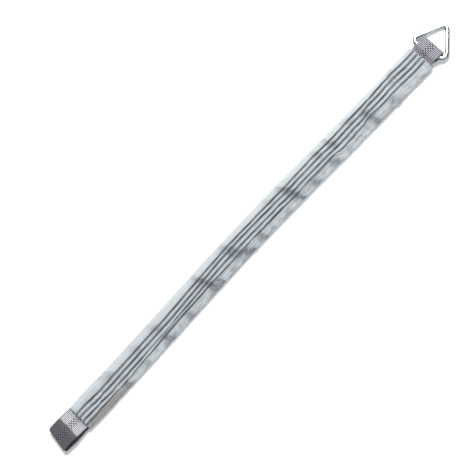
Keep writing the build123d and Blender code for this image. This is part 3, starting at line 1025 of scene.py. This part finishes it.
def ring_line(step):
    """Middle line of the ring's wire in its plane: rows of distance, reach to the apex, place on the bar."""
    corner = math.pi / 2 - RING_HALF_ANGLE          # inner angle between the bar and a leg
    setback = RING_CORNER / math.tan(corner / 2)
    length = RING_HALF_BASE / math.tan(RING_HALF_ANGLE)
    bar_end = RING_HALF_BASE - setback
    apex_centre = length - RING_APEX / math.sin(RING_HALF_ANGLE)
    leg_turn = math.degrees(RING_HALF_ANGLE)
    half = [(0.0, 0.0)]
    half += arc((RING_CORNER, bar_end), RING_CORNER, 180, 90 - leg_turn, 30)
    half += arc((apex_centre, 0), RING_APEX, 90 - leg_turn, 0, 20)
    other = [(u, -v) for u, v in reversed(half[1:-1])]
    s, u, v = walk(half + other + [half[0]], step)
    return s[:-1], u[:-1], v[:-1]


def ring_axes():
    """Where the frame holds the ring: its bar's middle, the way to the apex and the way along the bar."""
    joint = JOINTS["ring_swing"]
    middle = np.array(joint["pos_m"], float)
    bar = -np.array(joint["axis"], float)
    node = frame["nodes"]["triangle_ring"]
    points = np.zeros(len(node.data.vertices) * 3)
    node.data.vertices.foreach_get("co", points)
    reach = points.reshape(-1, 3).mean(axis=0) - middle
    reach -= bar * (reach @ bar)
    return middle, reach / np.linalg.norm(reach), bar


def make_ring():
    """Round wire bent into a triangle, with its weld in the pocket."""
    middle, ahead, bar = ring_axes()
    up = np.cross(ahead, bar)
    s, u, v = ring_line(0.6 * MM)
    tangent = np.stack([np.roll(u, -1) - np.roll(u, 1), np.roll(v, -1) - np.roll(v, 1)], axis=-1)
    tangent /= np.linalg.norm(tangent, axis=-1, keepdims=True)
    around = 48
    angles = np.arange(around) * 2 * math.pi / around
    rings, uv = [], []
    total = s[-1] + (s[1] - s[0])
    for i in range(len(s)):
        weld = 0.25 * MM * math.exp(-((min(s[i], total - s[i])) / (1.6 * MM)) ** 2)
        radius = WIRE + weld
        out = ahead * tangent[i, 1] - bar * tangent[i, 0]
        centre = middle + ahead * u[i] + bar * v[i]
        rings.append(centre + radius * (np.cos(angles)[:, None] * out + np.sin(angles)[:, None] * up))
        place = np.arange(around + 1) * 2 * math.pi * WIRE / around
        uv.append(np.stack([np.full(around + 1, s[i]), place], axis=-1))
    uv.append(uv[0] + np.array([total, 0]))
    piece = new_object("triangle_ring_wire", *loops_to_mesh(np.array(rings), np.array(uv), "joined"))
    dress(piece, "ring_steel", "triangle_ring")
    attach(piece, "ring")


# ---- the soft eye

EYE_TIP = EYE_START + 50.6 * MM     # centre of the turn at the tip
TIP_SKEW = 3.2 * MM
LINING_SHIFT = -1.1 * MM
CREST_X = EYE_START + EYE_HALF
NEAR_PART_END, FAR_PART_START = EYE_START + 13.5 * MM, EYE_START + 40.5 * MM


def eye_line(first, offset, tip_radius):
    """Line of a ply or lining over the eye's upper half, at an offset out from the inner face."""
    rise = EYE_HALF * math.tan(EYE_SLOPE)
    lift = offset / math.cos(EYE_SLOPE)
    points = [first, (max(first[0] + 1 * MM, EYE_START), max(offset, 0))] if offset > 0 else [first]
    points.append((CREST_X, rise + lift))
    return points + arc((EYE_TIP, 0), tip_radius, 80, 0, 14)


def distance_at(path, x):
    """How far along a path its x first reaches a value."""
    return float(path[0][np.argmax(path[1] >= x)])


def skewed(piece, shift):
    """Slants the tip of the eye, whose -Y edge was folded further out, and moves a layer to one side."""
    for point in piece.data.vertices:
        out = float(smoothstep((-point.co.x - CREST_X) / (EYE_TIP - CREST_X)))
        point.co.x += out * TIP_SKEW * (point.co.y / (WEB_WIDTH / 2))
        point.co.y += shift * (1.25 - 0.5 * out)
    piece.data.update()


def eye_parts(name, path, slot, width, thickness, nodes, look=None, shift=0.0, **shape):
    """The upper and lower halves of one layer of the eye, each in the parts that its joints need."""
    total = float(path[0][-1])
    near_end = round(distance_at(path, NEAR_PART_END) / (RIB / 2)) * RIB / 2
    far_start = round(distance_at(path, FAR_PART_START) / (RIB / 2)) * RIB / 2
    spans = {"root": (0.0, near_end), "crest": (near_end, far_start), "tip": (far_start, total)}
    for face, half in (("top", path), ("bottom", flipped(path))):
        near, far = f"eye_{face}_near_ply", f"eye_{face}_far_ply"
        for part, (start, end) in spans.items():
            strip = eye_side(cut(half, start, end))
            piece = ribbon(f"{name}_{face}_{part}", strip, width, thickness, **shape)
            skewed(piece, shift)
            dress(piece, slot, *[node.format(face=face) for node in nodes[part]], look=look)
            if part == "root":
                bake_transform(piece)
            elif part == "crest":
                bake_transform(piece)
            else:
                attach(piece, far)


def make_eye():
    plies = smoothed(eye_line((WEB_START, PLY / 2), PLY / 2, 2.1 * MM), RIB_STEP, 5 * MM)
    eye_parts("eye_web", plies, "web_grey", WEB_WIDTH, PLY, {
        "root": ["eye_base_web", "eye_{face}_near"], "crest": ["eye_{face}_near", "eye_{face}_far"],
        "tip": ["eye_{face}_far"],
    }, look="web_grey_eye_painted_shading")
    lining = smoothed(eye_line((EYE_START + 5 * MM, 0.47 * MM), -LINING / 2, 0.4 * MM), 0.6 * MM, 2 * MM)
    eye_parts("eye_lining", lining, "lining_black", LINING_WIDTH, LINING, {
        "root": ["eye_{face}_near_lining"], "crest": ["eye_{face}_near_lining", "eye_{face}_far_lining"],
        "tip": ["eye_{face}_far_lining"],
    }, shift=LINING_SHIFT, columns=41, ribs=False, edge=0.4 * MM)
    x = np.linspace(STRAP_END - 6 * MM, EYE_START + 5 * MM, 24)
    seam = ribbon("eye_lining_seam", eye_side((x, x, 0 * x)), LINING_WIDTH, LINING,
                  columns=41, ribs=False, edge=0.4 * MM)
    skewed(seam, LINING_SHIFT)
    dress(seam, "lining_black")
    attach(seam, body(1))


# ---- threads

def swept(path, radius, around=8):
    """Rings of a round thread along points, thinner at its two ends."""
    path = np.array(path, float)
    along = np.gradient(path, axis=0)
    along /= np.linalg.norm(along, axis=1, keepdims=True)
    side = np.cross(along, np.array([0.36, 0.48, 0.8]))
    side /= np.linalg.norm(side, axis=1, keepdims=True)
    third = np.cross(along, side)
    place = np.linspace(-1, 1, len(path))
    thick = radius * np.sqrt(np.clip(1.02 - place ** 6, 0.05, 1))
    angles = np.arange(around) * 2 * math.pi / around
    rings = path[:, None] + thick[:, None, None] * (
        np.cos(angles)[None, :, None] * side[:, None] + np.sin(angles)[None, :, None] * third[:, None])
    steps = np.linalg.norm(np.diff(path, axis=0), axis=1)
    s = np.concatenate([[0], np.cumsum(steps)])
    v = np.arange(around + 1) * 2 * math.pi * radius / around
    uv = np.stack(np.meshgrid(s, v, indexing="ij"), axis=-1)
    return loops_to_mesh(rings, uv)


def joined(name, parts):
    """One mesh object from several lots of points, faces and UVs."""
    points, faces, uvs = [], [], []
    for part_points, part_faces, part_uvs in parts:
        first = len(points)
        points += list(part_points)
        faces += [tuple(first + i for i in face) for face in part_faces]
        uvs += list(part_uvs)
    return new_object(name, points, faces, uvs)


STITCH, STITCH_PITCH, STITCHES = 3.0 * MM, 4.2 * MM, 11
THREAD = 0.4 * MM


def stitch_row(side, x, face, dice):
    """A row of stitches across the sling on both faces, each thread rising from the cloth and back."""
    rows = []
    for place in range(STITCHES):
        for top in (1, -1):
            middle = (place - (STITCHES - 1) / 2) * STITCH_PITCH + dice.uniform(-0.25, 0.25) * MM
            skew = dice.uniform(-0.3, 0.3) * MM
            t = np.linspace(-1, 1, 9)
            y = middle + t * STITCH / 2
            h = face + 0.12 * MM - 0.75 * MM * np.abs(t) ** 4
            rows.append(swept(in_web(side * (x + skew * t), y, top * h), THREAD))
    return rows


def make_stitching(name, node, side, section, start, length, rows, face):
    dice = np.random.default_rng(len(name))
    parts = []
    for row in range(rows):
        parts += stitch_row(side, start + length * (row + 0.5) / rows, face, dice)
    piece = joined(name, parts)
    dress(piece, "sleeve_thread" if "sleeve" in name else "web_thread", node)
    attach(piece, body(section))


def make_tufts():
    """Knotted ends of the dark stripe yarns at the eye's mouth, and a loose end at the ring's."""
    dice = np.random.default_rng(7)
    face = MOUTH_HEIGHT / 2 + 0.9 * MM
    parts = []
    for stripe in (-1.5, -0.5, 0.5, 1.5):
        for _ in range(5):
            y = stripe * STRIPE_PITCH + dice.uniform(-1.3, 1.3) * MM
            t = np.linspace(0, 1, 8)
            reach = dice.uniform(1.2, 2.8) * MM
            x = STRAP_END - 1.6 * MM + t * (1.6 * MM + reach)
            h = face * (1 - 0.32 * t ** 3) + 0.35 * MM * np.sin(math.pi * t)
            parts.append(swept(in_web(-x, y + dice.uniform(-0.8, 0.8) * MM * t, h), 0.36 * MM, 6))
    for place in np.arange(-26, 27, 2.6):
        t = np.linspace(-1, 1, 9)
        lip = MOUTH_HEIGHT / 2 + 0.45 * MM
        x = STRAP_END + 0.55 * MM + 0.95 * MM * t
        h = lip * (1 - 0.16 * (t + 1) ** 2) + 0.2 * MM
        y = place * MM + slip(-STRAP_END) + dice.uniform(-0.4, 0.4) * MM * t
        parts.append(swept(in_web(-x, y, h), 0.33 * MM, 6))
    piece = joined("stripe_yarn_ends", parts)
    dress(piece, "web_thread")
    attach(piece, body(1))
    t = np.linspace(0, 1, 14)
    tag = in_web(STRAP_END - 6 * MM + 6.5 * MM * t, -27.5 * MM - 1.2 * MM * np.sin(3 * t),
                 2.6 * MM * (1 - t) + 0.6 * MM * np.sin(5 * t))
    piece = joined("hem_loose_thread", [swept(tag, 0.4 * MM, 8)])
    dress(piece, "web_thread")
    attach(piece, body(SECTIONS))


# ---- all together

def main():
    make_camera()
    make_lights()
    make_floor()
    sleeves = make_sleeve()
    make_hem("hem_cloth_ring", "sleeve_hem_ring", 1, SECTIONS)
    make_hem("hem_cloth_eye", "sleeve_hem_eye", -1, 1)
    webs = make_inner_web()
    make_ring_end()
    make_ring()
    make_eye()
    hem_face = MOUTH_HEIGHT / 2 + 0.75 * MM
    make_stitching("sleeve_stitches_ring", "sleeve_stitching_ring", 1, SECTIONS,
                   STRAP_END - MOUTH_SET_BACK[1] - HEM, HEM, 2, hem_face)
    make_stitching("sleeve_stitches_eye", "sleeve_stitching_eye", -1, 1, STRAP_END - HEM, HEM, 2, hem_face)
    make_stitching("ring_stitches", "ring_stitching", 1, SECTIONS, STRAP_END, 2.05 * MM, 2, PLY)
    make_stitching("eye_stitches", "eye_stitching", -1, 1, STRAP_END, 9 * MM, 4, PLY)
    make_tufts()


main()
bpy.context.scene.view_settings.view_transform = "Standard"
